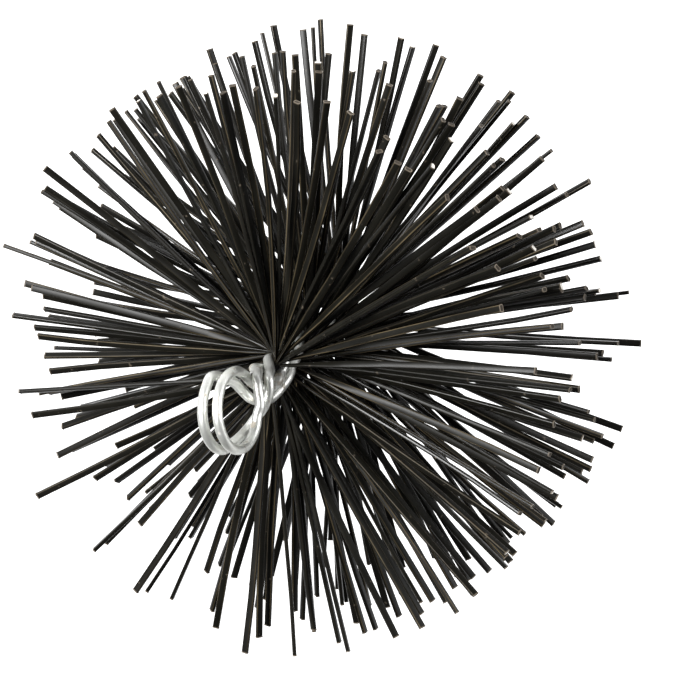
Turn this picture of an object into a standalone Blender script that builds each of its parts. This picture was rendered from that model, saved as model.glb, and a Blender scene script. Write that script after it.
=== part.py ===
"""Chimney sweep brush for working on a rope: two wires folded at the eye, and stiff plastic bristles.

The frame hangs as in use: +Z is the stem's axis, up towards the rope. The origin is the place inside
the eye, on the stem's axis, where the rope's hook bears. The eye lies in the XZ plane.
"""

import math
import random

import bmesh
import bpy
import numpy as np
from mathutils import Vector

MM = 0.001

# Wire
WIRE_DIAMETER = 4.2 * MM
WIRE_GAP = 0.6 * MM
WIRE_END_CHAMFER = 0.6 * MM
WIRE_END_SHARE = 0.72
WIRE_RING_STEP = 2.4 * MM
WIRE_BEVEL_STEPS = 4

# Eye, measured on the wire's centreline
EYE_RADIUS = 15.5 * MM
EYE_SIDE_SHIFT = 2.0 * MM
EYE_KEY_DEGREES = 18

# Stem: each wire is folded at the eye, so four strands are twisted round the bristles as two pairs
BRISTLED_LENGTH = 78.0 * MM
NECK_LENGTH = 27.0 * MM
CLOSING_LENGTH = 5.0 * MM
TAIL_LENGTH = 9.0 * MM
PINCH_THICKNESS = 3.2 * MM
TWIST_TURNS = 1.3
TWIST_START_DEGREES = 88.5
HELIX_KEY_STEP = 2.0 * MM
SMOOTH_STEPS = 10

# Bristles
BRUSH_RADIUS = 125.0 * MM
REACH_SPREAD = 7.0 * MM
BRISTLE_WIDTH = 2.4 * MM
BRISTLE_THICKNESS = 1.5 * MM
ROOT_WIDTH = 1.4 * MM
ROOT_THICKNESS = 0.85 * MM
KNEE_RADIUS = 38.0 * MM
KNEE_BEND = 0.9 * MM
BRISTLE_GAP = 0.2 * MM
LAYERS = 39
LAYERS_PER_ROW = 3
BRISTLES_ACROSS = 4
FAN_STEP_DEGREES = 26.0
FAN_JITTER_DEGREES = 4.5
UPPER_LEAN_DEGREES = 7.0
LOWER_LEAN_DEGREES = -9.5
LEAN_JITTER_DEGREES = 6.0
KNEE_LEAN_SHARE = 0.6
SETTLE_TRIES = 90
TRACK_SAMPLES = 36
TRACK_CROWDING = 1.6
SEED = 41

# Pinched strip that the bristles of a row are fused to
STRIP_GAP = 0.3 * MM
STRIP_WIRE_CLEARANCE = 0.55 * MM
STRIP_INNER_END = 0.2 * MM
STRIP_PINCH_END = 3.6 * MM
STRIP_OUTER_END = 5.6 * MM
STRIP_OUTER_HALF_WIDTH = 2.3 * MM

# Materials: colours as red, green and blue
ZINC_COLOUR = (0.60, 0.62, 0.59)
ZINC_ROUGHNESS = 0.34
PLASTIC_COLOUR = (0.018, 0.016, 0.014)
PLASTIC_ROUGHNESS = 0.42

# Sizes that follow from the ones above
WIRE_RADIUS = WIRE_DIAMETER / 2
WIRE_PITCH = WIRE_DIAMETER + WIRE_GAP
EYE_CENTRE_Z = -math.sqrt((EYE_RADIUS - WIRE_RADIUS) ** 2 - EYE_SIDE_SHIFT ** 2)
EYE_FOOT_Z = EYE_CENTRE_Z - EYE_RADIUS
STEM_MIDDLE_Z = EYE_FOOT_Z - NECK_LENGTH - BRISTLED_LENGTH / 2
PINCHED_DISTANCE = WIRE_RADIUS + PINCH_THICKNESS / 2
CLOSED_DISTANCE = WIRE_PITCH / 2
TWIST_PITCH = BRISTLED_LENGTH / TWIST_TURNS
PAIR_SPACING = WIRE_PITCH * math.hypot(1.0, math.tau * PINCHED_DISTANCE / TWIST_PITCH)
LAYER_PITCH = BRISTLED_LENGTH / LAYERS
STRIP_PINCHED_HALF_WIDTH = PINCH_THICKNESS / 2 - STRIP_WIRE_CLEARANCE

# Keys of the strands between stem and eye: shares of the wire pitch, from the stem's axis and the eye's foot
NECK_A_SHARES = [
    (-0.60, -0.90, -7.75), (-1.00, -0.90, -7.10), (-1.35, -0.75, -6.45), (-1.70, -0.55, -5.75),
    (-2.00, -0.30, -5.00), (-2.05, -0.05, -3.95), (-1.55, 0.00, -2.65), (-0.85, -0.05, -1.40),
    (0.30, 0.00, -0.30), (1.35, 0.00, 0.80),
]
NECK_B_SHARES = [
    (-0.20, -0.70, -6.60), (-0.60, -0.75, -5.80), (-0.95, -0.70, -5.10), (-1.10, -0.65, -4.30),
    (-0.95, -0.55, -3.50), (-0.45, -0.20, -2.95), (0.25, 0.10, -2.35), (1.25, -0.15, -1.10),
]
CROSSING_A_SHARES = [
    (-3.15, -0.05, -0.35), (-2.50, -0.55, -1.00), (-1.80, -1.10, -1.60), (-0.95, -1.50, -2.00),
    (-0.15, -1.65, -2.25), (0.45, -1.60, -2.45), (0.70, -1.35, -3.10), (0.65, -0.90, -4.10),
]
CROSSING_B_SHARES = [
    (-1.05, -1.70, -0.05), (-0.05, -1.60, -0.35), (0.65, -1.45, -0.70), (1.00, -1.25, -1.10),
    (1.15, -0.95, -1.85), (1.10, -0.45, -2.80), (0.85, 0.60, -4.10),
]
LEG_TOP_A_SHARES = (0.86, 0.97)
LEG_TOP_B_SHARES = (0.92, 0.97)

# Keys inside the eye: share of the eye's radius, degrees from +X towards +Z, depth along Y in wire pitches
ENTRY_A_SHARES = [(1.02, 8.0, 0.30)]
ENTRY_B_SHARES = [(1.04, -18.0, -1.15), (1.02, 4.0, -1.14)]
TURN_A_SHARES = (30.0, 190.0, 0.25, 0.20)
TURN_B_SHARES = (25.0, 245.0, -1.12, -1.48)
EXIT_A_SHARES = [(1.08, 212.0, -0.05)]


def stem_to_row(x, y, height):
    """Place a point given by its height above the middle of the bristles."""
    return Vector((x, y, STEM_MIDDLE_Z + height))


def twist_angle(height):
    """Angle of the first pair of strands round the stem: a left-handed twist."""
    return math.radians(TWIST_START_DEGREES) - math.tau * height / TWIST_PITCH


def pair_distance(height):
    """Distance of each pair from the stem's axis: wide round the bristles, closed up in the tail."""
    beyond = (-height - BRISTLED_LENGTH / 2) / CLOSING_LENGTH
    share = min(max(beyond, 0.0), 1.0)
    ease = share * share * (3.0 - 2.0 * share)
    return PINCHED_DISTANCE + (CLOSED_DISTANCE - PINCHED_DISTANCE) * ease


def twist_point(height, leg, side):
    """A point on a strand's centreline: leg 0 or 1 names the pair, side is -1 for wire A and 1 for wire B."""
    angle = twist_angle(height) + math.pi * leg
    outward = Vector((math.cos(angle), math.sin(angle), 0.0))
    beside = Vector((-math.sin(angle), math.cos(angle), 0.0))
    middle = stem_to_row(0.0, 0.0, height)
    return middle + outward * pair_distance(height) + beside * side * PAIR_SPACING / 2


def leg_keys(leg, side, top_share):
    """Keys of a strand from its clipped lower end upwards, as far as a share of the bristled length."""
    lowest = -BRISTLED_LENGTH / 2 - CLOSING_LENGTH - TAIL_LENGTH
    highest = (top_share - 0.5) * BRISTLED_LENGTH
    count = math.ceil((highest - lowest) / HELIX_KEY_STEP)
    return [twist_point(lowest + (highest - lowest) * index / count, leg, side) for index in range(count + 1)]


def neck_point(shares):
    """A key of a strand between the stem and the eye."""
    x, y, z = shares
    return Vector((x * WIRE_PITCH, y * WIRE_PITCH, EYE_FOOT_Z + z * WIRE_PITCH))


def eye_point(shares):
    """A key in the eye, from its radius share, its angle and its depth."""
    radius_share, degrees, depth_share = shares
    radius = EYE_RADIUS * radius_share
    angle = math.radians(degrees)
    x = radius * math.cos(angle) - EYE_SIDE_SHIFT
    return Vector((x, depth_share * WIRE_PITCH, EYE_CENTRE_Z + radius * math.sin(angle)))


def turn_keys(turn_shares):
    """Keys of the round part of a turn, whose depth drifts a little from its start to its end."""
    start, end, start_depth, end_depth = turn_shares
    count = round((end - start) / EYE_KEY_DEGREES)
    keys = []
    for index in range(count + 1):
        share = index / count
        degrees = start + (end - start) * share
        keys.append(eye_point((1.0, degrees, start_depth + (end_depth - start_depth) * share)))
    return keys


def wire_keys(side, leg_tops, neck, entry, turn, leave, crossing):
    """Keys of one wire: up its first leg, round the eye, over the neck and down its second leg."""
    keys = leg_keys(0, side, leg_tops[0])
    keys += [neck_point(shares) for shares in neck]
    keys += [eye_point(shares) for shares in entry]
    keys += turn_keys(turn)
    keys += [eye_point(shares) for shares in leave]
    keys += [neck_point(shares) for shares in crossing]
    keys += reversed(leg_keys(1, side, leg_tops[1]))
    return keys


def smooth_path(keys):
    """A centripetal Catmull-Rom curve through the keys."""
    ends = [2 * keys[0] - keys[1]] + keys + [2 * keys[-1] - keys[-2]]
    path = []
    for index in range(1, len(ends) - 2):
        before, start, end, after = ends[index - 1:index + 3]
        knots = [0.0]
        for first, second in ((before, start), (start, end), (end, after)):
            knots.append(knots[-1] + math.sqrt((second - first).length))
        for step in range(SMOOTH_STEPS):
            knot = knots[1] + (knots[2] - knots[1]) * step / SMOOTH_STEPS
            path.append(catmull_rom(knot, knots, (before, start, end, after)))
    path.append(keys[-1])
    return path


def catmull_rom(knot, knots, points):
    """One point of the curve, by repeated blending of its four keys."""
    level = list(points)
    for width in (1, 2, 3):
        blended = []
        for index in range(len(level) - 1):
            low, high = (knots[1], knots[2]) if width == 3 else (knots[index], knots[index + width])
            share = (knot - low) / (high - low)
            blended.append(level[index].lerp(level[index + 1], share))
        level = blended
    return level[0]


def even_steps(path, step):
    """The path again, with its points the same distance apart."""
    lengths = [0.0]
    for first, second in zip(path, path[1:]):
        lengths.append(lengths[-1] + (second - first).length)
    count = round(lengths[-1] / step)
    result = []
    index = 0
    for number in range(count + 1):
        target = lengths[-1] * number / count
        while index < len(path) - 2 and lengths[index + 1] < target:
            index += 1
        share = (target - lengths[index]) / (lengths[index + 1] - lengths[index])
        result.append(path[index].lerp(path[index + 1], share))
    return result


def least_gap(first, second):
    """The narrowest space between two wires, or between the turns of one wire, measured on their points."""
    one = np.array([tuple(point) for point in first])
    other = np.array([tuple(point) for point in second])
    distances = np.linalg.norm(one[:, None, :] - other[None, :, :], axis=2)
    if first is second:
        skip = math.ceil(math.pi * WIRE_DIAMETER / WIRE_RING_STEP)
        rows, columns = np.indices(distances.shape)
        distances = distances[np.abs(rows - columns) > skip]
    return float(distances.min()) - WIRE_DIAMETER


def make_material(name, colour, roughness, metallic):
    """A Principled material with one colour."""
    material = bpy.data.materials.new(name)
    material.use_nodes = True
    shader = material.node_tree.nodes["Principled BSDF"]
    shader.inputs["Base Color"].default_value = (*colour, 1.0)
    shader.inputs["Roughness"].default_value = roughness
    shader.inputs["Metallic"].default_value = metallic
    return material


def make_wire(name, path, material):
    """One unbroken round wire along its path, with clipped and slightly rounded ends."""
    inset = (WIRE_END_CHAMFER / (path[1] - path[0]).length, WIRE_END_CHAMFER / (path[-1] - path[-2]).length)
    places = [path[0], path[0].lerp(path[1], inset[0])] + path[1:-1]
    places += [path[-1].lerp(path[-2], inset[1]), path[-1]]
    curve = bpy.data.curves.new(name, "CURVE")
    curve.dimensions = "3D"
    curve.twist_mode = "MINIMUM"
    curve.bevel_depth = WIRE_RADIUS
    curve.bevel_resolution = WIRE_BEVEL_STEPS
    curve.use_fill_caps = True
    spline = curve.splines.new("POLY")
    spline.points.add(len(places) - 1)
    for point, place in zip(spline.points, places):
        point.co = (*place, 1.0)
    spline.points[0].radius = WIRE_END_SHARE
    spline.points[-1].radius = WIRE_END_SHARE
    spline.use_smooth = True
    curve.materials.append(material)
    wire = bpy.data.objects.new(name, curve)
    bpy.context.collection.objects.link(wire)
    return wire


def strip_frame(height, side):
    """Directions along and across the pinched strip at a height: outwards, and towards a wire."""
    angle = twist_angle(height) + math.pi / 2 + math.pi * side
    outward = Vector((math.cos(angle), math.sin(angle), 0.0))
    across = Vector((-math.sin(angle), math.cos(angle), 0.0))
    return outward, across


def strip_point(height, side, along, sideways):
    """A point of the strip's cross-section at a height."""
    outward, across = strip_frame(height, side)
    return stem_to_row(0.0, 0.0, height) + outward * along + across * sideways


def layer_height(layer_edge):
    """Height of the edge between two layers of bristles, counted from the top."""
    return BRISTLED_LENGTH / 2 - layer_edge * LAYER_PITCH


def section_at(radius):
    """Thickness round the stem and width along it of a bristle at a distance from the stem."""
    share = np.clip((radius - STRIP_OUTER_END) / (KNEE_RADIUS - STRIP_OUTER_END), 0.0, 1.0)
    thickness = ROOT_THICKNESS + (BRISTLE_THICKNESS - ROOT_THICKNESS) * share
    width = ROOT_WIDTH + (BRISTLE_WIDTH - ROOT_WIDTH) * share
    return thickness, width


def track_radii():
    """Distances from the stem at which two bristles are compared, closer together near the stem."""
    shares = np.linspace(0.0, 1.0, TRACK_SAMPLES)
    return STRIP_OUTER_END + (BRUSH_RADIUS - STRIP_OUTER_END) * shares ** TRACK_CROWDING


def bristle_track(root, knee, tip, radii):
    """Points of a bristle's centreline at the given distances from the stem."""
    root, knee, tip = (np.array(tuple(point)) for point in (root, knee, tip))
    tip_radius = math.hypot(tip[0], tip[1])
    near = ((radii - STRIP_OUTER_END) / (KNEE_RADIUS - STRIP_OUTER_END))[:, None]
    far = ((radii - KNEE_RADIUS) / (tip_radius - KNEE_RADIUS))[:, None]
    return np.where(near < 1.0, root + (knee - root) * near, knee + (tip - knee) * far)


def bristle_centreline(layer, side, row, jitter):
    """Root, knee and tip of one bristle; jitter holds four numbers from -1 to 1."""
    height = layer_height(layer + 0.5)
    cell = 2 * STRIP_OUTER_HALF_WIDTH / BRISTLES_ACROSS
    place = row - (BRISTLES_ACROSS - 1) / 2
    root = strip_point(height, side, STRIP_OUTER_END, place * cell)
    fan = math.radians(FAN_STEP_DEGREES * place + FAN_JITTER_DEGREES * jitter[0])
    angle = twist_angle(height) + math.pi / 2 + math.pi * side + fan
    share = (layer + 0.5) / LAYERS
    lean_degrees = UPPER_LEAN_DEGREES + (LOWER_LEAN_DEGREES - UPPER_LEAN_DEGREES) * share
    slope = math.tan(math.radians(lean_degrees + LEAN_JITTER_DEGREES * jitter[1]))
    tip_radius = BRUSH_RADIUS - REACH_SPREAD * (1.0 + jitter[2]) / 2
    outward = Vector((math.cos(angle), math.sin(angle), 0.0))
    tip = outward * tip_radius
    tip.z = root.z + slope * (tip_radius - STRIP_OUTER_END)
    knee_share = (KNEE_RADIUS - STRIP_OUTER_END) / (tip_radius - STRIP_OUTER_END)
    knee = root.lerp(tip, knee_share)
    knee += Vector((-outward.y, outward.x, 0.0)) * KNEE_BEND * jitter[3]
    knee.z = root.z + slope * KNEE_LEAN_SHARE * (KNEE_RADIUS - STRIP_OUTER_END)
    return root, knee, tip


def room_round(track, placed, thickness, width):
    """The least space between a bristle and those placed before it."""
    if not placed:
        return BRUSH_RADIUS
    offsets = np.abs(np.array(placed) - track)
    beside = np.hypot(offsets[:, :, 0], offsets[:, :, 1]) - thickness
    above = offsets[:, :, 2] - width
    return float(np.maximum(beside, above).min())


def settle_bristles():
    """Centrelines of all bristles by layer, side and place across, none crossing another."""
    chance = random.Random(SEED)
    radii = track_radii()
    thickness, width = section_at(radii)
    bristles = {}
    placed = []
    least_room = BRUSH_RADIUS
    for layer in range(LAYERS):
        for side in (0, 1):
            for row in range(BRISTLES_ACROSS):
                best_room = -BRUSH_RADIUS
                for attempt in range(SETTLE_TRIES):
                    calm = 1.0 - attempt / SETTLE_TRIES
                    jitter = [chance.uniform(-1.0, 1.0) * calm for _ in range(2)]
                    jitter += [chance.uniform(-1.0, 1.0) for _ in range(2)]
                    lines = bristle_centreline(layer, side, row, jitter)
                    track = bristle_track(*lines, radii)
                    room = room_round(track, placed, thickness, width)
                    if room > best_room:
                        best_room = room
                        best = (lines, track)
                    if room > BRISTLE_GAP:
                        break
                least_room = min(least_room, best_room)
                bristles[layer, side, row] = best[0]
                placed.append(best[1])
    print("bristles", len(bristles), "least space between two of them", round(least_room / MM, 3), "mm")
    return bristles


def bristle_ring(mesh, centre, direction):
    """Four corners of a bristle's full section, square to its direction."""
    beside = Vector((-direction.y, direction.x, 0.0)).normalized()
    above = direction.cross(beside).normalized()
    corners = []
    for across, along in ((-1, -1), (1, -1), (1, 1), (-1, 1)):
        place = centre + beside * across * BRISTLE_THICKNESS / 2 + above * along * BRISTLE_WIDTH / 2
        corners.append(mesh.verts.new(place))
    return corners


def root_ring(mesh, root, side, height):
    """Four corners of a bristle's root, on the end face of the strip."""
    across = strip_frame(height, side)[1]
    corners = []
    for sideways, along in ((-1, 1), (1, 1), (1, -1), (-1, -1)):
        place = root + across * sideways * ROOT_THICKNESS / 2
        place.z += along * ROOT_WIDTH / 2
        corners.append(mesh.verts.new(place))
    return corners


def bridge(mesh, first, second):
    """Faces between two rings of the same number of corners."""
    count = len(first)
    for index in range(count):
        following = (index + 1) % count
        mesh.faces.new((first[index], first[following], second[following], second[index]))


def make_bristle_row(name, first_layer, side, bristles, material):
    """One side of a short length of the pinched strip, with its bristles grown from the strip's end face."""
    mesh = bmesh.new()
    columns = BRISTLES_ACROSS + 1
    sections = []
    for edge in range(LAYERS_PER_ROW + 1):
        height = layer_height(first_layer + edge)
        if edge == 0:
            height -= STRIP_GAP / 2
        if edge == LAYERS_PER_ROW:
            height += STRIP_GAP / 2
        outer = []
        for column in range(columns):
            sideways = STRIP_OUTER_HALF_WIDTH * (2 * column / BRISTLES_ACROSS - 1)
            outer.append(mesh.verts.new(strip_point(height, side, STRIP_OUTER_END, sideways)))
        pinched = []
        for direction, along in (
            (1, STRIP_PINCH_END), (1, STRIP_INNER_END), (-1, STRIP_INNER_END), (-1, STRIP_PINCH_END),
        ):
            sideways = STRIP_PINCHED_HALF_WIDTH * direction
            pinched.append(mesh.verts.new(strip_point(height, side, along, sideways)))
        sections.append((outer, pinched))
    for (upper, upper_pinched), (lower, lower_pinched) in zip(sections, sections[1:]):
        upper_chain = [upper[-1]] + upper_pinched + [upper[0]]
        lower_chain = [lower[-1]] + lower_pinched + [lower[0]]
        for index in range(len(upper_chain) - 1):
            left = (upper_chain[index], lower_chain[index])
            right = (lower_chain[index + 1], upper_chain[index + 1])
            mesh.faces.new(left + right)
    top, top_pinched = sections[0]
    bottom, bottom_pinched = sections[-1]
    mesh.faces.new(top + top_pinched)
    mesh.faces.new(list(reversed(bottom + bottom_pinched)))
    for index in range(LAYERS_PER_ROW):
        layer = first_layer + index
        for row in range(BRISTLES_ACROSS):
            upper = sections[index][0]
            lower = sections[index + 1][0]
            cell = (upper[row], upper[row + 1], lower[row + 1], lower[row])
            root, knee, tip = bristles[layer, side, row]
            base = root_ring(mesh, root, side, layer_height(layer + 0.5))
            bridge(mesh, cell, base)
            grow_bristle(mesh, base, root, knee, tip)
    bmesh.ops.triangulate(mesh, faces=mesh.faces)
    bmesh.ops.recalc_face_normals(mesh, faces=mesh.faces)
    data = bpy.data.meshes.new(name)
    mesh.to_mesh(data)
    mesh.free()
    data.materials.append(material)
    row_object = bpy.data.objects.new(name, data)
    bpy.context.collection.objects.link(row_object)
    return row_object


def grow_bristle(mesh, base, root, knee, tip):
    """A four-sided bristle from its root ring over its knee to its square-cut tip."""
    first = (knee - root).normalized()
    last = (tip - knee).normalized()
    middle = order_like(base, bristle_ring(mesh, knee, (first + last).normalized()))
    end = order_like(middle, bristle_ring(mesh, tip, last))
    bridge(mesh, base, middle)
    bridge(mesh, middle, end)
    mesh.faces.new(end)


def order_like(ring, other):
    """The other ring's corners, turned or reversed so that they run beside the first ring's."""
    best = None
    centre = sum((corner.co for corner in ring), Vector()) / len(ring)
    other_centre = sum((corner.co for corner in other), Vector()) / len(other)
    for candidate in (other, list(reversed(other))):
        for shift in range(len(other)):
            turned = candidate[shift:] + candidate[:shift]
            match = 0.0
            for corner, partner in zip(ring, turned):
                match += (corner.co - centre).normalized().dot((partner.co - other_centre).normalized())
            if best is None or match > best[0]:
                best = (match, turned)
    return best[1]


def make_brush():
    """All pieces of the brush."""
    keys_a = wire_keys(
        -1, LEG_TOP_A_SHARES, NECK_A_SHARES, ENTRY_A_SHARES, TURN_A_SHARES, EXIT_A_SHARES, CROSSING_A_SHARES,
    )
    keys_b = wire_keys(
        1, LEG_TOP_B_SHARES, NECK_B_SHARES, ENTRY_B_SHARES, TURN_B_SHARES, [], CROSSING_B_SHARES,
    )
    paths = []
    for name, keys in (("core_wire_a", keys_a), ("core_wire_b", keys_b)):
        path = even_steps(smooth_path(keys), WIRE_RING_STEP)
        make_wire(name, path, make_material(f"{name}_zinc", ZINC_COLOUR, ZINC_ROUGHNESS, 1.0))
        paths.append(path)
    for label, first, second in (("a", 0, 0), ("b", 1, 1), ("a to b", 0, 1)):
        gap = least_gap(paths[first], paths[second])
        print("least gap of wire", label, round(gap / MM, 3), "mm")
    bristles = settle_bristles()
    for number in range(LAYERS // LAYERS_PER_ROW):
        for side, lane in ((0, "left"), (1, "right")):
            name = f"bristle_row_{number + 1:02d}_{lane}"
            plastic = make_material(f"{name}_plastic", PLASTIC_COLOUR, PLASTIC_ROUGHNESS, 0.0)
            make_bristle_row(name, number * LAYERS_PER_ROW, side, bristles, plastic)


for old in list(bpy.data.objects):
    bpy.data.objects.remove(old, do_unlink=True)
make_brush()
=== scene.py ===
"""Looks of a chimney sweep brush: round galvanised wire and stiff plastic bristles, in a plain studio."""

import math
import random

import bmesh
import bpy
from bpy.props import FloatProperty, FloatVectorProperty, IntProperty, PointerProperty
from mathutils import Matrix, Vector


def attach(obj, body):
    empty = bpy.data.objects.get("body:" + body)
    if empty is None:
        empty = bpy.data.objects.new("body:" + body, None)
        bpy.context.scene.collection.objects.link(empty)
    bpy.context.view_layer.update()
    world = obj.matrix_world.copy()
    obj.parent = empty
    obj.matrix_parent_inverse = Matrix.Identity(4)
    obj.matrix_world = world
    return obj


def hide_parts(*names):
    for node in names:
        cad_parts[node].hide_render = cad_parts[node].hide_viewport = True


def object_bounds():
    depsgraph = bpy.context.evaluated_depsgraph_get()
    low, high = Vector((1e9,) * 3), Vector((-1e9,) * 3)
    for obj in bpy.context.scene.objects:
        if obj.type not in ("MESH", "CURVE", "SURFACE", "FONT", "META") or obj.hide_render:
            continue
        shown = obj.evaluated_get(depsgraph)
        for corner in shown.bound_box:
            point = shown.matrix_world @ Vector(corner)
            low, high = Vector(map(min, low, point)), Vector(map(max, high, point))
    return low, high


bl_info = {
    "name": "Chimney Sweep Brush",
    "version": (1, 0, 0),
    "blender": (4, 5, 0),
    "location": "View3D > Sidebar > Brush",
    "description": "Dresses a twisted-wire flue brush with fine wire, bristles and a studio stage",
    "category": "Object",
}

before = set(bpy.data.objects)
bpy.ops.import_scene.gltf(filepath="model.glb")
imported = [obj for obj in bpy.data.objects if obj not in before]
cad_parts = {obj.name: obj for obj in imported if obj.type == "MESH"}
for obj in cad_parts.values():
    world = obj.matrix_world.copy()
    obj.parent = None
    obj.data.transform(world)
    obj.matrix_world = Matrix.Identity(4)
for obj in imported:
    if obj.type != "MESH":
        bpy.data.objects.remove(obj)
CAD_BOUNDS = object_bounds()
BODY = "root"
MM = 0.001

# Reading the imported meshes
MERGE_DISTANCE = 0.001 * MM
FLAT_ANGLE = math.radians(0.1)
FEWEST_CAP_FACES = 8
STRIP_REACH_SHARE = 1 / 12
BRISTLE_CORNERS = 4
BRISTLES_PER_LAYER = 4

# Paths of the wires and bristles
WIRE_RADIUS_SHARE = 0.995
PATH_POINTS = 7
ROOT_CROWDING = 1.25
LAYER_HEIGHT_SHARE = 1 / 6
PINCH_REACH_SHARE = 1 / 12
PINCH_SPREAD_SHARE = 0.45
SWAY_SHARPNESS = 12
TIP_MARGIN = 1.8 * MM

# A bristle along its length, in shares of it
THIN_SHARES = (0.03, 0.28)
TURN_SHARES = (0.02, 0.30)
STRAY_SHARES = (0.05, 0.5)
TIP_SHARE = 0.999
STRAY_SCALE = 11.0
STRAY_SPREAD = 90.0
TURN_SEED_STEP = 50

# Section and cut end of a bristle
SECTION_CORNER_POINTS = 2
EDGE_SHARES = (0.37, 0.42)
RIM_INSIDE_SHARE = 0.78
HOLLOW_INSIDE_SHARE = 0.62
BURR_MARK = 0.3
RIM_MARK = 0.5
BURR_FROM = 0.25
RIM_FROM = 0.4
CORE_FROM = 0.75

# Mottled surface
CLOUD_RANGE = (0.32, 0.68)
SPOT_EDGE = 0.06
ZINC_MOTTLE = {"Cloud Scale": 120.0, "Grain Scale": 1400.0, "Spot Scale": 150.0, "Spot Level": 0.595}
PLASTIC_MOTTLE = {"Cloud Scale": 48.0, "Grain Scale": 1100.0, "Spot Scale": 320.0, "Spot Level": 0.70}

# Zinc
DULL_GRAIN_RANGE = (0.35, 0.75)
DULL_GRAIN_STRENGTH = 0.5
STAIN_STRENGTH = 0.7
ZINC_METALLIC = 0.87
STAIN_METALLIC = 0.2
ROUGH_GRAIN_RANGE = (0.3, 0.7)
ZINC_ROUGHNESS_RANGE = (0.31, 0.42)
ZINC_BUMP = 0.2
ZINC_BUMP_DEPTH = 0.05 * MM

# Plastic
CLOUD_TONE = 3
CLOUD_STRENGTH = 0.55
# Painted golden highlight along the long edges of some bristles, varied by the surface clouds
HIGHLIGHT_CLOUD_RANGE = (0.2, 0.8)
HIGHLIGHT_LEAST = 0.35
HIGHLIGHT_FROM = 0.45
HIGHLIGHT_ELSEWHERE = 0.04
SPECK_STRENGTH = 0.25
# Cut ends are painted lighter than the body as painted highlights, in tones of one colour, with a
# near-white painted glint on the centre of some
PALE_FROM = 0.80
CORE_TONE = 0.2
RIM_TONE = 0.3
BURR_TONE = 0.35
PLASTIC_SPECULAR = 0.17
PLASTIC_ROUGHNESS_RANGE = (0.24, 0.32)
ROUGHNESS_SPREAD = 0.2
CUT_ROUGHNESS = 0.7
PLASTIC_BUMP = 0.03
PLASTIC_BUMP_DEPTH = 0.04 * MM

# Whole numbers that turn a bristle's one random share into further ones
PALE_SHUFFLE = 37.0
RIM_SHUFFLE = 91.0
GLOSS_SHUFFLE = 53.0

# Camera, as read from the photo, and the picture that it makes
VIEW_BACK = Vector((0.2807, -0.4581, 0.8434))
VIEW_UP = Vector((0.9460, -0.0166, -0.3238))
AIM_Z = -98.25 * MM
PICTURE_PIXELS = 680
SHIFT_RIGHT_PIXELS = 25.5
SHIFT_DOWN_PIXELS = 1.5
SENSOR_WIDTH = 36.0

# Lamps, placed from the brush in shares of the view's right, up and back
KEY_PLACE_SHARES = (-0.90, 0.25, 1.05)
KEY_DISTANCE = 1.1
FILL_PLACE_SHARES = (1.00, 0.20, 0.60)
FILL_DISTANCE = 1.2

# Floor and world
FLOOR_ROUGHNESS = 0.9
FLOOR_SPECULAR = 0.1
WHITE = (1.0, 1.0, 1.0, 1.0)

# Node trees: the editor's columns and rows, and the colour sockets of a Mix node
COLUMN_WIDTH = 180
ROW_HEIGHT = 200
MIX_COLOUR_INPUTS = (6, 7)
MIX_COLOUR_OUTPUT = 2

WIRE_NODES = sorted(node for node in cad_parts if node.startswith("core_wire"))
ROW_NODES = sorted(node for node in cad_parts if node.startswith("bristle_row"))
ROW_NUMBERS = sorted({node.split("_")[2] for node in ROW_NODES})


def colour_property(name, description, default):
    """A colour that the user can change, with its own picker."""
    return FloatVectorProperty(
        name=name, description=description, default=default,
        size=3, subtype="COLOR", min=0.0, max=1.0,
    )


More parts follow.
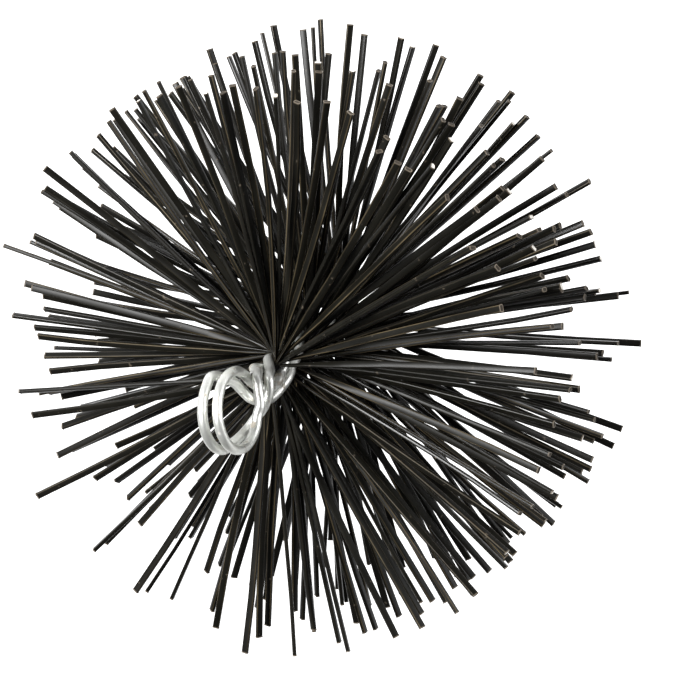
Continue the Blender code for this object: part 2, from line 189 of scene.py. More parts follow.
class BrushBristleSettings(bpy.types.PropertyGroup):
    """Sizes and colours of the plastic bristles."""

    width: FloatProperty(
        name="Width", description="Broad side of a bristle", default=2.85 * MM, unit="LENGTH",
    )
    thickness: FloatProperty(
        name="Thickness", description="Narrow side of a bristle", default=1.65 * MM, unit="LENGTH",
    )
    corner: FloatProperty(
        name="Corner", description="Rounding of a bristle's long edges",
        default=0.42 * MM, unit="LENGTH",
    )
    root_share: FloatProperty(
        name="Root Share", description="Size of the pinched root beside the free bristle",
        default=0.56, subtype="FACTOR",
    )
    roll: FloatProperty(
        name="Roll", description="Most that a bristle is turned about its own length",
        default=math.radians(88.0), subtype="ANGLE",
    )
    waviness: FloatProperty(
        name="Waviness", description="How far a bristle strays from its line",
        default=2.6 * MM, unit="LENGTH",
    )
    extra_share: FloatProperty(
        name="Extra Share", description="Chance of a bristle between two neighbours on the full sides",
        default=0.33, subtype="FACTOR",
    )
    extra_length: FloatProperty(
        name="Extra Length", description="Most that an added bristle is longer than its neighbours",
        default=0.12, subtype="FACTOR",
    )
    stretch: FloatProperty(
        name="Stretch", description="Most that a bristle is longer than its packed form, inside its box",
        default=0.03, subtype="FACTOR",
    )
    full_azimuth: FloatProperty(
        name="Full Azimuth", description="Direction of one of the two opposite sides with more bristles",
        default=math.radians(-90.0), subtype="ANGLE",
    )
    full_width: FloatProperty(
        name="Full Width", description="Angle that each full side takes up",
        default=math.radians(62.0), subtype="ANGLE",
    )
    droop: FloatProperty(
        name="Droop", description="Most that a tip of the upper layers hangs down",
        default=13.0 * MM, unit="LENGTH",
    )
    droop_azimuth: FloatProperty(
        name="Droop Azimuth", description="Side on which the upper layers droop",
        default=math.radians(148.0), subtype="ANGLE",
    )
    sway: FloatProperty(
        name="Sway", description="Most that a bristle is turned round the stem towards the next side",
        default=math.radians(-8.0), subtype="ANGLE",
    )
    sway_azimuth: FloatProperty(
        name="Sway Azimuth", description="Side on which the bristles sway",
        default=math.radians(-29.0), subtype="ANGLE",
    )
    burr: FloatProperty(
        name="Burr", description="Length of the flared end that the cutter leaves",
        default=0.5 * MM, unit="LENGTH",
    )
    flare: FloatProperty(
        name="Flare", description="Size of the flared end beside the bristle",
        default=1.1, subtype="FACTOR", soft_max=1.5,
    )
    dimple: FloatProperty(
        name="Dimple", description="Depth of the hollow in a cut end",
        default=0.16 * MM, unit="LENGTH",
    )
    seed: IntProperty(name="Seed", description="Chooses where bristles are added", default=7)
    colour: colour_property("Colour", "Black plastic", (0.0027, 0.0025, 0.0018))
    # A painted golden highlight along the long edges of some bristles
    edge_highlight_colour: colour_property("Edge Colour", "Golden brown long edges", (0.10, 0.076, 0.041))
    # A painted highlight on the rims of the cut ends, and also the colour of sparse specks on the bristles
    end_highlight_and_speck_colour: colour_property("Cut Colour", "Rims of the cut ends", (0.215, 0.177, 0.134))
    # A near-white painted glint on the centre of some cut ends
    end_glint_colour: colour_property("Pale Colour", "Glinting centre of some cut ends", (0.86, 0.83, 0.78))


class BrushWireSettings(bpy.types.PropertyGroup):
    """Sizes and colours of the galvanised wire."""

    step: FloatProperty(
        name="Step", description="Distance between the rings of the wire",
        default=0.9 * MM, unit="LENGTH",
    )
    sides: IntProperty(name="Sides", description="Sides of the round wire", default=24, min=8)
    colour: colour_property("Colour", "Zinc coat", (0.985, 0.99, 0.965))
    dull_colour: colour_property("Dull Colour", "Weathered zinc", (0.78, 0.795, 0.745))
    stain_colour: colour_property("Stain Colour", "Small brown stains", (0.22, 0.165, 0.10))


class BrushStageSettings(bpy.types.PropertyGroup):
    """Camera, lamps and floor."""

    distance: FloatProperty(
        name="Distance", description="From the camera to the stem's middle", default=1.6, unit="LENGTH",
    )
    lens: FloatProperty(name="Lens", description="Focal length in millimetres", default=200.8)
    key_power: FloatProperty(
        name="Key Power", description="Main lamp, at the camera's upper left",
        default=82.0, unit="POWER",
    )
    key_size: FloatProperty(
        name="Key Size", description="Side of the key lamp", default=0.6, unit="LENGTH",
    )
    fill_power: FloatProperty(
        name="Fill Power", description="Weaker lamp, at the camera's right",
        default=10.0, unit="POWER",
    )
    fill_size: FloatProperty(
        name="Fill Size", description="Side of the fill lamp", default=0.9, unit="LENGTH",
    )
    world_level: FloatProperty(
        name="World Level", description="Light from all round", default=0.13,
    )
    floor_drop: FloatProperty(
        name="Floor Drop", description="From the brush's lowest point to the floor",
        default=0.55, unit="LENGTH",
    )
    floor_reach: FloatProperty(
        name="Floor Reach", description="From the brush to the floor's edge",
        default=12.0, unit="LENGTH",
    )
    floor_lift: FloatProperty(
        name="Floor Lift", description="Light that the floor adds for the camera and reflections",
        default=0.35,
    )
    floor_colour: colour_property("Floor Colour", "Pale floor", (0.86, 0.86, 0.86))


def merged_copy(node):
    """A mesh-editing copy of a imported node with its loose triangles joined."""
    mesh = bmesh.new()
    mesh.from_mesh(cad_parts[node].data)
    bmesh.ops.remove_doubles(mesh, verts=mesh.verts, dist=MERGE_DISTANCE)
    return mesh


def middle(points):
    """The middle of some points."""
    return sum(points, Vector()) / len(points)


def reach(point):
    """Distance from the stem's axis."""
    return math.hypot(point[0], point[1])


def path_object(name, paths, radii=None):
    """A mesh of open chains of edges, one for each path, to be swept by Geometry Nodes."""
    places = []
    edges = []
    for path in paths:
        start = len(places)
        places += [tuple(point) for point in path]
        edges += [(start + index, start + index + 1) for index in range(len(path) - 1)]
    mesh = bpy.data.meshes.new(name)
    mesh.from_pydata(places, edges, [])
    if radii:
        values = mesh.attributes.new("ring_radius", "FLOAT", "POINT")
        values.data.foreach_set("value", radii)
    chain = bpy.data.objects.new(name, mesh)
    bpy.context.collection.objects.link(chain)
    return chain


def sweep(chain, tree, name, values):
    """Run a node tree on a chain object and keep the result as a plain mesh object."""
    modifier = chain.modifiers.new(name, "NODES")
    modifier.node_group = tree
    for socket in tree.interface.items_tree:
        if socket.item_type == "SOCKET" and socket.in_out == "INPUT" and socket.name in values:
            modifier[socket.identifier] = values[socket.name]
    evaluated = chain.evaluated_get(bpy.context.evaluated_depsgraph_get())
    mesh = bpy.data.meshes.new_from_object(evaluated)
    mesh.name = name
    piece = bpy.data.objects.new(name, mesh)
    bpy.context.collection.objects.link(piece)
    bpy.data.objects.remove(chain, do_unlink=True)
    if not mesh.polygons:
        raise RuntimeError(f"{name} has no faces")
    return piece


class Nodes:
    """Short words for building a node tree."""

    def __init__(self, tree):
        self.tree = tree
        self.column = 0

    def new(self, kind, row=0):
        """A new node in the next column of the editor, in one of its rows."""
        node = self.tree.nodes.new(kind)
        self.column += 1
        node.location = (COLUMN_WIDTH * self.column, -ROW_HEIGHT * row)
        return node

    def add(self, kind, settings=None, **inputs):
        """Add a node, set its own settings, and set or link its inputs by name."""
        node = self.new(kind)
        for key, value in (settings or {}).items():
            setattr(node, key, value)
        for key, value in inputs.items():
            self.feed(node.inputs[key.replace("_", " ")], value)
        return node

    def feed(self, socket, value):
        """Link an output into a socket, or set the socket's value."""
        if isinstance(value, bpy.types.NodeSocket):
            self.tree.links.new(value, socket)
        else:
            socket.default_value = value

    def math(self, operation, first, second=None, clamp=False):
        """A math node's result."""
        node = self.new("ShaderNodeMath", row=1)
        node.operation = operation
        node.use_clamp = clamp
        for socket, value in zip(node.inputs, (first, second)):
            if value is not None:
                self.feed(socket, value)
        return node.outputs[0]

    def above(self, value, limit):
        """One where a value is over a limit, and zero elsewhere."""
        return self.math("GREATER_THAN", value, limit)

    def shuffled(self, share, times):
        """Another random share, made from one that is random already."""
        return self.math("FRACT", self.math("MULTIPLY", share, times))

    def ramp(self, value, low, high, to_low=0.0, to_high=1.0, smooth=False):
        """A value mapped from one range to another and held within it."""
        node = self.new("ShaderNodeMapRange", row=2)
        node.interpolation_type = "SMOOTHSTEP" if smooth else "LINEAR"
        self.feed(node.inputs["Value"], value)
        self.feed(node.inputs["From Min"], low)
        self.feed(node.inputs["From Max"], high)
        self.feed(node.inputs["To Min"], to_low)
        self.feed(node.inputs["To Max"], to_high)
        return node.outputs[0]

    def mix(self, share, first, second):
        """A colour between two others."""
        node = self.new("ShaderNodeMix", row=3)
        node.data_type = "RGBA"
        node.clamp_factor = True
        self.feed(node.inputs["Factor"], share)
        for place, value in zip(MIX_COLOUR_INPUTS, (first, second)):
            if not isinstance(value, bpy.types.NodeSocket):
                value = (*value[:3], 1.0)
            self.feed(node.inputs[place], value)
        return node.outputs[MIX_COLOUR_OUTPUT]

    def capture(self, geometry, domain, **fields):
        """Keep the values that fields have on a geometry at this step, to be read by name."""
        node = self.new("GeometryNodeCaptureAttribute")
        node.domain = domain
        for label, source in fields.items():
            node.capture_items.new("FLOAT", label)
            self.feed(node.inputs[label], source)
        self.feed(node.inputs["Geometry"], geometry)
        return node.outputs

    def store(self, geometry, label, value, domain="POINT"):
        """Write a value on a geometry as a named attribute, which a material can read."""
        return self.add(
            "GeometryNodeStoreNamedAttribute", {"data_type": "FLOAT", "domain": domain},
            Geometry=geometry, Name=label, Value=value,
        ).outputs[0]


def geometry_tree(name, sizes):
    """An empty geometry tree with a geometry input and output and an input for each named size."""
    tree = bpy.data.node_groups.new(name, "GeometryNodeTree")
    tree.interface.new_socket("Geometry", in_out="INPUT", socket_type="NodeSocketGeometry")
    for label, value in sizes.items():
        kind = "NodeSocketInt" if isinstance(value, int) else "NodeSocketFloat"
        socket = tree.interface.new_socket(label, in_out="INPUT", socket_type=kind)
        socket.default_value = value
    tree.interface.new_socket("Geometry", in_out="OUTPUT", socket_type="NodeSocketGeometry")
    build = Nodes(tree)
    return tree, build, build.add("NodeGroupInput").outputs


def finish_tree(build, geometry, material):
    """End a geometry tree with real geometry and its material."""
    realized = build.add("GeometryNodeRealizeInstances", Geometry=geometry).outputs[0]
    painted = build.add("GeometryNodeSetMaterial", Geometry=realized, Material=material).outputs[0]
    build.add("NodeGroupOutput", Geometry=painted)


def random_share(build, index, seed):
    """A random share from zero to one for each bristle."""
    return build.add(
        "FunctionNodeRandomValue", {"data_type": "FLOAT"}, ID=index, Seed=seed,
    ).outputs["Value"]


def strayed_lines(build, lines, strand, far, waviness):
    """Lines moved aside by a noise that grows along them and differs from bristle to bristle."""
    stray = build.add(
        "ShaderNodeTexNoise", {"noise_dimensions": "4D"},
        Vector=build.add("GeometryNodeInputPosition").outputs[0],
        W=build.math("MULTIPLY", strand, STRAY_SPREAD), Scale=STRAY_SCALE, Detail=1.0,
    )
    centred = build.add("ShaderNodeVectorMath", {"operation": "SUBTRACT"})
    build.feed(centred.inputs[0], stray.outputs["Color"])
    build.feed(centred.inputs[1], (0.5, 0.5, 0.5))
    offset = build.add("ShaderNodeVectorMath", {"operation": "SCALE"})
    build.feed(offset.inputs[0], centred.outputs[0])
    grown = build.ramp(far, *STRAY_SHARES, smooth=True)
    build.feed(offset.inputs["Scale"], build.math("MULTIPLY", grown, waviness))
    return build.add(
        "GeometryNodeSetPosition", Geometry=lines, Offset=offset.outputs[0],
    ).outputs[0]


def turned_lines(build, lines, turn, far, roll):
    """Lines that turn their section about themselves, to either side, over their first stretch."""
    upright = build.add("GeometryNodeSetCurveNormal", {"mode": "Z_UP"}, Curve=lines).outputs[0]
    most = build.math("MULTIPLY", build.ramp(turn, 0.0, 1.0, -1.0, 1.0), roll)
    tilt = build.math("MULTIPLY", most, build.ramp(far, *TURN_SHARES, smooth=True))
    return build.add("GeometryNodeSetCurveTilt", Curve=upright, Tilt=tilt).outputs[0]


def flat_section(build, given):
    """The flat, round-edged section of a bristle, with its long edges marked."""
    outline = build.add(
        "GeometryNodeCurvePrimitiveQuadrilateral", Width=given["Thickness"], Height=given["Width"],
    ).outputs[0]
    section = build.add(
        "GeometryNodeFilletCurve", {"mode": "POLY"},
        Curve=outline, Radius=given["Corner"], Count=SECTION_CORNER_POINTS,
    ).outputs[0]
    position = build.add("GeometryNodeInputPosition").outputs[0]
    axes = build.add("ShaderNodeSeparateXYZ", Vector=position).outputs
    over = build.math("DIVIDE", build.math("ABSOLUTE", axes["X"]), given["Thickness"])
    across = build.math("DIVIDE", build.math("ABSOLUTE", axes["Y"]), given["Width"])
    edge = build.ramp(build.math("MINIMUM", over, across), *EDGE_SHARES)
    return build.store(section, "edge_share", edge)


def extrude_faces(build, mesh, chosen, distance):
    """Push chosen faces out, each by itself, and give back the mesh with its new tops and sides."""
    return build.add(
        "GeometryNodeExtrudeMesh", {"mode": "FACES"},
        Mesh=mesh, Selection=chosen, Offset_Scale=distance, Individual=True,
    ).outputs


def scale_faces(build, mesh, chosen, share):
    """Make chosen faces larger or smaller about their own middles."""
    return build.add(
        "GeometryNodeScaleElements", Geometry=mesh, Selection=chosen, Scale=share,
    ).outputs[0]


def cut_end(build, bristles, far, given):
    """Bristles with a flared burr, a rim and a shallow hollow at the tip, and the marks of those faces."""
    burr = extrude_faces(build, bristles, build.above(far, TIP_SHARE), given["Burr"])
    flared = scale_faces(build, burr["Mesh"], burr["Top"], given["Flare"])
    rim = extrude_faces(build, flared, burr["Top"], 0.0)
    shrunk = scale_faces(build, rim["Mesh"], rim["Top"], RIM_INSIDE_SHARE)
    core = extrude_faces(build, shrunk, rim["Top"], build.math("MULTIPLY", given["Dimple"], -1.0))
    hollow = scale_faces(build, core["Mesh"], core["Top"], HOLLOW_INSIDE_SHARE)
    cut = build.math("MAXIMUM", core["Top"], core["Side"])
    cut = build.math("MAXIMUM", cut, build.math("MULTIPLY", rim["Side"], RIM_MARK))
    cut = build.math("MAXIMUM", cut, build.math("MULTIPLY", burr["Side"], BURR_MARK))
    return build.store(hollow, "cut_share", cut, "FACE"), cut


def bristle_tree(material, sizes):
    """Sweep a flat, round-edged section along each chain, from a thin root to a flared cut end."""
    tree, build, given = geometry_tree("pinched_bristles", sizes)
    chains = build.add("GeometryNodeMeshToCurve", Mesh=given["Geometry"]).outputs[0]
    index = build.add("GeometryNodeInputIndex").outputs[0]
    chance = random_share(build, index, given["Seed"])
    turn = random_share(build, index, build.math("ADD", given["Seed"], TURN_SEED_STEP))
    kept = build.capture(chains, "CURVE", strand=chance, turn=turn)
    along = build.add("GeometryNodeSplineParameter").outputs["Factor"]
    placed = build.capture(kept["Geometry"], "POINT", along=along)
    far = placed["along"]

    strayed = strayed_lines(build, placed["Geometry"], kept["strand"], far, given["Waviness"])
    turned = turned_lines(build, strayed, kept["turn"], far, given["Roll"])
    size = build.ramp(far, *THIN_SHARES, given["Root Share"], 1.0)
    swept = build.add(
        "GeometryNodeCurveToMesh",
        Curve=turned, Profile_Curve=flat_section(build, given), Scale=size, Fill_Caps=True,
    ).outputs[0]

    ended, cut = cut_end(build, swept, far, given)
    marked = build.store(ended, "strand_share", kept["strand"])
    smooth = build.add("GeometryNodeSetShadeSmooth", {"domain": "FACE"}, Geometry=marked)
    build.feed(smooth.inputs["Shade Smooth"], build.math("LESS_THAN", cut, BURR_FROM))
    finish_tree(build, smooth.outputs[0], material)
    return tree


def wire_tree(material, sizes):
    """Sweep a round section along a smooth path through the chain's points."""
    tree, build, given = geometry_tree("drawn_wire", sizes)
    curve = build.add("GeometryNodeMeshToCurve", Mesh=given["Geometry"]).outputs[0]
    curve = build.add(
        "GeometryNodeCurveSplineType", {"spline_type": "CATMULL_ROM"}, Curve=curve,
    ).outputs[0]
    radius = build.add("GeometryNodeInputNamedAttribute", {"data_type": "FLOAT"}, Name="ring_radius")
    curve = build.add(
        "GeometryNodeResampleCurve", {"mode": "LENGTH"}, Curve=curve, Length=given["Step"],
    ).outputs[0]
    ring = build.add("GeometryNodeCurvePrimitiveCircle", Resolution=given["Sides"], Radius=1.0).outputs[0]
    swept = build.add(
        "GeometryNodeCurveToMesh",
        Curve=curve, Profile_Curve=ring, Scale=radius.outputs["Attribute"], Fill_Caps=True,
    ).outputs[0]
    smooth = build.add("GeometryNodeSetShadeSmooth", {"domain": "FACE"}, Geometry=swept).outputs[0]
    finish_tree(build, smooth, material)
    return tree


def mottle_group():
    """Uneven surface shared by the zinc and the plastic: broad clouds, fine grain and sparse spots."""
    tree = bpy.data.node_groups.new("surface_mottle", "ShaderNodeTree")
    tree.interface.new_socket("Vector", in_out="INPUT", socket_type="NodeSocketVector")
    for label in ("Cloud Scale", "Grain Scale", "Spot Scale", "Spot Level"):
        tree.interface.new_socket(label, in_out="INPUT", socket_type="NodeSocketFloat")
    for label in ("Cloud", "Grain", "Spot"):
        tree.interface.new_socket(label, in_out="OUTPUT", socket_type="NodeSocketFloat")
    build = Nodes(tree)
    given = build.add("NodeGroupInput").outputs
    vector = given["Vector"]
    clouds = build.add("ShaderNodeTexNoise", Vector=vector, Scale=given["Cloud Scale"], Detail=3.0)
    grain = build.add("ShaderNodeTexNoise", Vector=vector, Scale=given["Grain Scale"], Detail=4.0)
    spots = build.add(
        "ShaderNodeTexNoise", Vector=vector, Scale=given["Spot Scale"], Detail=2.0, Roughness=0.6,
    )
    level = given["Spot Level"]
    build.add(
        "NodeGroupOutput",
        Cloud=build.ramp(clouds.outputs[0], *CLOUD_RANGE),
        Grain=grain.outputs[0],
        Spot=build.ramp(spots.outputs[0], level, build.math("ADD", level, SPOT_EDGE)),
    )
    return tree


def new_material(name):
    """A material with only its shader and output, and a builder for the rest."""
    material = bpy.data.materials.new(name)
    material.use_nodes = True
    shader = material.node_tree.nodes["Principled BSDF"]
    return material, Nodes(material.node_tree), shader


def place_mottle(build, mottle, scales):
    """The shared surface group on Object coordinates, with a material's own scales."""
    node = build.add("ShaderNodeGroup", {"node_tree": mottle})
    build.feed(node.inputs["Vector"], build.add("ShaderNodeTexCoord").outputs["Object"])
    for label, value in scales.items():
        node.inputs[label].default_value = value
    return node.outputs


def toned(colour, times):
    """A colour made so many times as bright."""
    return [times * part for part in colour]


def attribute_value(build, label):
    """The value of one of a mesh's named attributes."""
    return build.add("ShaderNodeAttribute", {"attribute_name": label}).outputs["Fac"]


def zinc_material(look, mottle):
    """Satin hot-dip zinc: pale, slightly green, clouded, with small brown stains."""
    material, build, shader = new_material("galvanised_zinc")
    surface = place_mottle(build, mottle, ZINC_MOTTLE)
    grain = surface["Grain"]
    zinc = build.mix(surface["Cloud"], look.dull_colour, look.colour)
    dulled = build.ramp(grain, *DULL_GRAIN_RANGE, 0.0, DULL_GRAIN_STRENGTH)
    zinc = build.mix(dulled, zinc, look.dull_colour)
    stain = build.math("MULTIPLY", surface["Spot"], STAIN_STRENGTH)
    metallic = build.ramp(surface["Spot"], 0.0, 1.0, ZINC_METALLIC, STAIN_METALLIC)
    roughness = build.ramp(grain, *ROUGH_GRAIN_RANGE, *ZINC_ROUGHNESS_RANGE)
    bump = build.add("ShaderNodeBump", Strength=ZINC_BUMP, Distance=ZINC_BUMP_DEPTH, Height=grain)
    build.feed(shader.inputs["Base Color"], build.mix(stain, zinc, look.stain_colour))
    build.feed(shader.inputs["Metallic"], metallic)
    build.feed(shader.inputs["Roughness"], roughness)
    build.feed(shader.inputs["Normal"], bump.outputs[0])
    return material


def plastic_material(look, mottle):
    """Black extruded plastic with painted highlights: a golden line along the long edges of some bristles,
    and lighter cut ends, some with a near-white centre; no two bristles alike.
    """
    material, build, shader = new_material("bristle_plastic")
    surface = place_mottle(build, mottle, PLASTIC_MOTTLE)
    cloud = surface["Cloud"]
    strand = attribute_value(build, "strand_share")
    edge = attribute_value(build, "edge_share")
    cut = attribute_value(build, "cut_share")

    clouded = build.math("MULTIPLY", cloud, CLOUD_STRENGTH)
    body = build.mix(clouded, look.colour, toned(look.colour, CLOUD_TONE))
    # Painted highlight: the edge colour laid on the long edges of bristles whose share is over the limit,
    # varied by the clouds
    highlight_here = build.ramp(cloud, *HIGHLIGHT_CLOUD_RANGE, HIGHLIGHT_LEAST, 1.0)
    highlight_share = build.math("MULTIPLY", highlight_here, build.ramp(strand, HIGHLIGHT_FROM, 1.0, HIGHLIGHT_ELSEWHERE))
    body = build.mix(build.math("MULTIPLY", edge, highlight_share), body, look.edge_highlight_colour)
    body = build.mix(build.math("MULTIPLY", surface["Spot"], SPECK_STRENGTH), body, look.end_highlight_and_speck_colour)

    # The cut ends are painted lighter than the body as painted highlights: a tan rim, a darker burr and
    # core, and a near-white painted glint on the core of some ends
    pale = build.above(build.shuffled(strand, PALE_SHUFFLE), PALE_FROM)
    core = build.mix(pale, toned(look.end_highlight_and_speck_colour, CORE_TONE), look.end_glint_colour)
    rim = build.mix(
        build.shuffled(strand, RIM_SHUFFLE), toned(look.end_highlight_and_speck_colour, RIM_TONE), look.end_highlight_and_speck_colour,
    )
    end = build.mix(build.above(cut, RIM_FROM), toned(look.end_highlight_and_speck_colour, BURR_TONE), rim)
    end = build.mix(build.above(cut, CORE_FROM), end, core)
    build.feed(shader.inputs["Base Color"], build.mix(build.above(cut, BURR_FROM), body, end))

    spread = build.math("MULTIPLY", build.shuffled(strand, GLOSS_SHUFFLE), ROUGHNESS_SPREAD)
    roughness = build.math("ADD", build.ramp(cloud, 0.0, 1.0, *PLASTIC_ROUGHNESS_RANGE), spread)
    roughness = build.math("MAXIMUM", roughness, build.math("MULTIPLY", cut, CUT_ROUGHNESS))
    build.feed(shader.inputs["Roughness"], roughness)
    build.feed(shader.inputs["Specular IOR Level"], PLASTIC_SPECULAR)
    bump = build.add(
        "ShaderNodeBump", Strength=PLASTIC_BUMP, Distance=PLASTIC_BUMP_DEPTH, Height=surface["Grain"],
    )
    build.feed(shader.inputs["Normal"], bump.outputs[0])
    return material


def flat_caps(mesh):
    """The vertices of each flat end, in order of x: many neighbouring triangles in one plane."""
    caps = []
    waiting = set(mesh.faces)
    while waiting:
        first = waiting.pop()
        group = {first}
        front = [first]
        while front:
            for edge in front.pop().edges:
                for face in edge.link_faces:
                    if face in waiting and face.normal.angle(first.normal) < FLAT_ANGLE:
                        waiting.discard(face)
                        group.add(face)
                        front.append(face)
        if len(group) >= FEWEST_CAP_FACES:
            caps.append({vertex for face in group for vertex in face.verts})
    return sorted(caps, key=lambda cap: middle([vertex.co for vertex in cap]).x)


def wire_centreline(node):
    """Ring centres and ring radii of a packed wire, from one clipped end to the other."""
    mesh = merged_copy(node)
    caps = flat_caps(mesh)
    if len(caps) != 2:
        raise RuntimeError(f"{node} has {len(caps)} flat ends")
    ring = caps[0]
    seen = set(ring)
    centres = []
    radii = []
    while ring:
        centre = middle([vertex.co for vertex in ring])
        centres.append(centre)
        radius = sum((vertex.co - centre).length for vertex in ring) / len(ring)
        radii.append(WIRE_RADIUS_SHARE * radius)
        following = set()
        for vertex in ring:
            following.update(edge.other_vert(vertex) for edge in vertex.link_edges)
        ring = following - seen
        seen |= ring
    mesh.free()
    return centres, radii


def packed_bristles(node):
    """Root, knee and tip of each bristle of a packed row, read from its mesh."""
    mesh = merged_copy(node)
    strip_reach = max(reach(vertex.co) for vertex in mesh.verts) * STRIP_REACH_SHARE
    waiting = {vertex for vertex in mesh.verts if reach(vertex.co) > strip_reach}
    bristles = []
    while waiting:
        first = waiting.pop()
        island = {first}
        front = [first]
        roots = set()
        while front:
            here = front.pop()
            for edge in here.link_edges:
                other = edge.other_vert(here)
                if other in waiting:
                    waiting.discard(other)
                    island.add(other)
                    front.append(other)
                elif reach(other.co) <= strip_reach:
                    roots.add(other)
        ordered = sorted(island, key=lambda vertex: reach(vertex.co))
        knee = middle([vertex.co for vertex in ordered[:BRISTLE_CORNERS]])
        tip = middle([vertex.co for vertex in ordered[BRISTLE_CORNERS:]])
        bristles.append((middle([vertex.co for vertex in roots]), knee, tip))
    mesh.free()
    return bristles


def layers_of(bristles):
    """The bristles of a row, layer by layer, each layer in its order round the stem."""
    ordered = sorted(bristles, key=lambda lines: lines[0].z)
    starts = range(0, len(ordered), BRISTLES_PER_LAYER)
    layers = [ordered[start:start + BRISTLES_PER_LAYER] for start in starts]
    for layer in layers:
        heading = middle([lines[2] for lines in layer])
        layer.sort(key=lambda lines: heading.xy.angle_signed(lines[2].xy))
    return layers


def full_side(tip, look):
    """Whether a direction lies on one of the two opposite sides where the brush has more bristles."""
    turn = math.remainder(math.atan2(tip.y, tip.x) - look.full_azimuth, math.pi)
    return abs(turn) < look.full_width / 2


def kept_inside(root, tip):
    """A bristle's tip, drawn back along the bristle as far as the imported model's box needs."""
    low, high = CAD_BOUNDS
    share = 1.0
    for axis in range(3):
        for limit in (low[axis] + TIP_MARGIN, high[axis] - TIP_MARGIN):
            if (tip[axis] - limit) * (root[axis] - limit) < 0:
                share = min(share, (limit - root[axis]) / (tip[axis] - root[axis]))
    return root + (tip - root) * share


def bristle_lines(node, look, chance):
    """Root, knee and tip of a row's bristles and those added between them, swayed and drooped."""
    low, high = CAD_BOUNDS
    lines = []
    for layer in layers_of(packed_bristles(node)):
        lines += layer
        for first, second in zip(layer, layer[1:]):
            root, knee, tip = [(one + other) / 2 for one, other in zip(first, second)]
            if full_side(tip, look) and chance.random() < look.extra_share:
                longer = 1.0 + look.extra_length * chance.random()
                lines.append((root, knee, root + (tip - root) * longer))
    drooped = []
    for root, knee, tip in lines:
        upper = (root.z - low[2]) / (high[2] - low[2])
        azimuth = math.atan2(tip.y, tip.x)
        swaying = max(0.0, math.cos(azimuth - look.sway_azimuth)) ** SWAY_SHARPNESS
        turn = Matrix.Rotation(look.sway * swaying, 3, "Z")
        knee, tip = turn @ knee, turn @ tip
        facing = max(0.0, math.cos(azimuth - look.droop_azimuth))
        fall = Vector((0.0, 0.0, -look.droop * facing * upper))
        share = (reach(knee) / reach(tip)) ** 2
        tip = root + (tip - root) * (1.0 + look.stretch * chance.random())
        drooped.append((root, knee + fall * share, kept_inside(root, tip + fall)))
    return drooped


def bristle_paths(lines):
    """Smooth paths of bristles, from inside the pinch over root and knee to the tip."""
    paths = []
    for root, knee, tip in lines:
        height = reach(root) * LAYER_HEIGHT_SHARE
        pinch = middle([other[0] for other in lines if abs(other[0].z - root.z) < height])
        held = Vector((pinch.x * PINCH_REACH_SHARE, pinch.y * PINCH_REACH_SHARE, root.z))
        path = [held + (root - pinch) * PINCH_SPREAD_SHARE]
        bend = reach(knee - root) / reach(tip - root)
        for step in range(PATH_POINTS):
            share = (step / (PATH_POINTS - 1)) ** ROOT_CROWDING
            path.append(through(root, knee, tip, bend, share))
        paths.append(path)
    return paths


def through(first, second, third, knot, share):
    """A point on the parabola that passes through three points, the second at the knot's share."""
    a = (share - knot) * (share - 1.0) / knot
    b = share * (share - 1.0) / (knot * (knot - 1.0))
    c = share * (share - knot) / (1.0 - knot)
    return first * a + second * b + third * c


class BRUSH_OT_stem_wires(bpy.types.Operator):
    """Make both stem wires round and smooth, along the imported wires' own centrelines."""

    bl_idname = "brush.stem_wires"
    bl_label = "Stem Wires"

    def execute(self, context):
        look = context.scene.brush_wire
        sizes = {"Step": look.step, "Sides": look.sides}
        tree = wire_tree(zinc_material(look, bpy.data.node_groups["surface_mottle"]), sizes)
        for node in WIRE_NODES:
            centres, radii = wire_centreline(node)
            chain = path_object(f"{node}_path", [centres], radii)
            wire = sweep(chain, tree, f"{node}_drawn", sizes)
            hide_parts(node)
            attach(wire, BODY)
        return {"FINISHED"}


class BRUSH_OT_bristles(bpy.types.Operator):
    """Make the bristles of every row, along the packed bristles' own lines."""

    bl_idname = "brush.bristles"
    bl_label = "Bristles"

    def execute(self, context):
        look = context.scene.brush_bristles
        sizes = {
            "Width": look.width, "Thickness": look.thickness, "Corner": look.corner,
            "Root Share": look.root_share, "Roll": look.roll, "Waviness": look.waviness,
            "Burr": look.burr, "Flare": look.flare, "Dimple": look.dimple, "Seed": look.seed,
        }
        tree = bristle_tree(plastic_material(look, bpy.data.node_groups["surface_mottle"]), sizes)
        chance = random.Random(look.seed)
        for number in ROW_NUMBERS:
            nodes = [node for node in ROW_NODES if node.split("_")[2] == number]
            paths = []
            for node in nodes:
                paths += bristle_paths(bristle_lines(node, look, chance))
            chain = path_object(f"row_{number}_path", paths)
            row = sweep(chain, tree, f"bristles_{number}", {**sizes, "Seed": int(number)})
            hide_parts(*nodes)
            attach(row, BODY)
        return {"FINISHED"}


def floor_material(look):
    """A matt pale surface that the camera also sees a little brighter than the lamps make it."""
    material, build, shader = new_material("pale_floor")
    build.feed(shader.inputs["Base Color"], (*look.floor_colour, 1.0))
    build.feed(shader.inputs["Roughness"], FLOOR_ROUGHNESS)
    build.feed(shader.inputs["Specular IOR Level"], FLOOR_SPECULAR)
    rays = build.add("ShaderNodeLightPath").outputs
    seen = build.math("ADD", rays["Is Camera Ray"], rays["Is Glossy Ray"])
    seen = build.math("ADD", seen, rays["Is Transmission Ray"], clamp=True)
    build.feed(shader.inputs["Emission Color"], WHITE)
    build.feed(shader.inputs["Emission Strength"], build.math("MULTIPLY", seen, look.floor_lift))
    return material


def soft_lamp(name, offset, target, size, watts):
    """A square soft lamp at an offset from a place and turned towards it."""
    lamp = bpy.data.lights.new(name, "AREA")
    lamp.shape = "SQUARE"
    lamp.size = size
    lamp.energy = watts
    holder = bpy.data.objects.new(name, lamp)
    place = target + offset
    holder.location = place
    holder.rotation_euler = (target - place).to_track_quat("-Z", "Y").to_euler()
    bpy.context.collection.objects.link(holder)


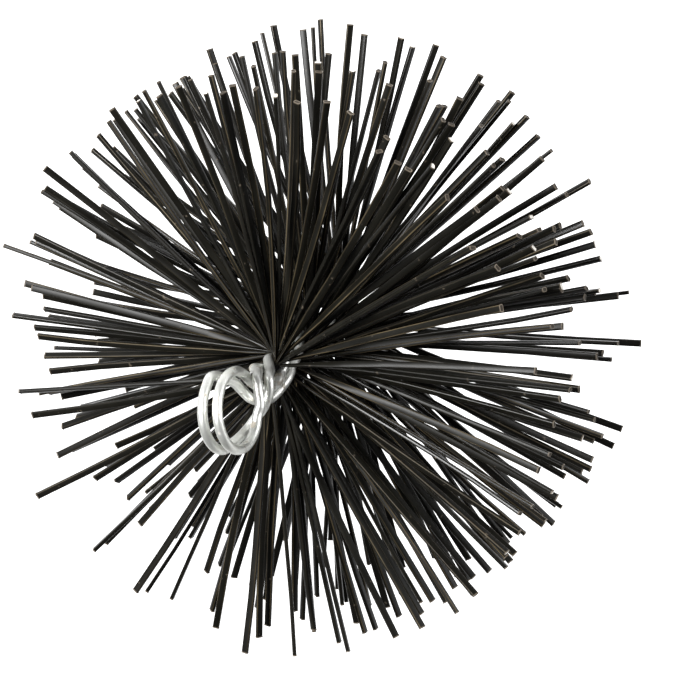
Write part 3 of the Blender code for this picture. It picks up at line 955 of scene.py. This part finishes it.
def add_camera(look, target, right, up, back):
    """The camera where the photo was taken from, with the brush as far off the picture's middle."""
    pixel = SENSOR_WIDTH / look.lens * look.distance / PICTURE_PIXELS
    centre = target + right * pixel * SHIFT_RIGHT_PIXELS - up * pixel * SHIFT_DOWN_PIXELS
    camera = bpy.data.cameras.new("camera")
    camera.lens = look.lens
    camera.sensor_width = SENSOR_WIDTH
    holder = bpy.data.objects.new("camera", camera)
    turned = Matrix((right, up, back)).transposed().to_4x4()
    turned.translation = centre + back * look.distance
    holder.matrix_world = turned
    bpy.context.collection.objects.link(holder)
    bpy.context.scene.camera = holder


def add_world(look):
    """Even white light from all round."""
    world = bpy.data.worlds.new("studio")
    world.use_nodes = True
    background = world.node_tree.nodes["Background"]
    background.inputs["Color"].default_value = WHITE
    background.inputs["Strength"].default_value = look.world_level
    bpy.context.scene.world = world


def add_floor(look, floor_z):
    """A wide square floor below the brush, which belongs to the stage."""
    side = look.floor_reach
    mesh = bpy.data.meshes.new("floor")
    corners = [(x * side, y * side, floor_z) for x, y in ((-1, -1), (1, -1), (1, 1), (-1, 1))]
    mesh.from_pydata(corners, [], [(0, 1, 2, 3)])
    mesh.materials.append(floor_material(look))
    floor = bpy.data.objects.new("floor", mesh)
    bpy.context.collection.objects.link(floor)


class BRUSH_OT_stage(bpy.types.Operator):
    """Set the camera, the lamps, the world and the floor."""

    bl_idname = "brush.stage"
    bl_label = "Stage"

    def execute(self, context):
        look = context.scene.brush_stage
        target = Vector((0.0, 0.0, AIM_Z))
        back = VIEW_BACK.normalized()
        right = VIEW_UP.cross(back).normalized()
        up = back.cross(right)
        add_camera(look, target, right, up, back)
        for name, shares, distance, size, watts in (
            ("key_lamp", KEY_PLACE_SHARES, KEY_DISTANCE, look.key_size, look.key_power),
            ("fill_lamp", FILL_PLACE_SHARES, FILL_DISTANCE, look.fill_size, look.fill_power),
        ):
            offset = (back * shares[2] + right * shares[0] + up * shares[1]) * distance
            soft_lamp(name, offset, target, size, watts)
        add_world(look)
        add_floor(look, CAD_BOUNDS[0][2] - look.floor_drop)
        context.scene.view_settings.view_transform = "Standard"
        return {"FINISHED"}


class BRUSH_PT_panel(bpy.types.Panel):
    """Lists the brush's pieces and their settings in the sidebar."""

    bl_idname = "BRUSH_PT_panel"
    bl_label = "Chimney Sweep Brush"
    bl_space_type = "VIEW_3D"
    bl_region_type = "UI"
    bl_category = "Brush"

    def draw(self, context):
        for operator, settings in (
            (BRUSH_OT_stem_wires, context.scene.brush_wire),
            (BRUSH_OT_bristles, context.scene.brush_bristles),
            (BRUSH_OT_stage, context.scene.brush_stage),
        ):
            box = self.layout.box()
            box.operator(operator.bl_idname)
            for name in settings.__annotations__:
                box.prop(settings, name)


CLASSES = (
    BrushBristleSettings, BrushWireSettings, BrushStageSettings,
    BRUSH_OT_stem_wires, BRUSH_OT_bristles, BRUSH_OT_stage, BRUSH_PT_panel,
)


def register():
    """Add the classes and their settings to Blender."""
    for entry in CLASSES:
        bpy.utils.register_class(entry)
    bpy.types.Scene.brush_bristles = PointerProperty(type=BrushBristleSettings)
    bpy.types.Scene.brush_wire = PointerProperty(type=BrushWireSettings)
    bpy.types.Scene.brush_stage = PointerProperty(type=BrushStageSettings)


def unregister():
    """Take the classes and their settings out again."""
    del bpy.types.Scene.brush_stage
    del bpy.types.Scene.brush_wire
    del bpy.types.Scene.brush_bristles
    for entry in reversed(CLASSES):
        bpy.utils.unregister_class(entry)


def main():
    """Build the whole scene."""
    register()
    mottle_group()
    bpy.ops.brush.stem_wires()
    bpy.ops.brush.bristles()
    bpy.ops.brush.stage()


if __name__ == "__main__":
    main()
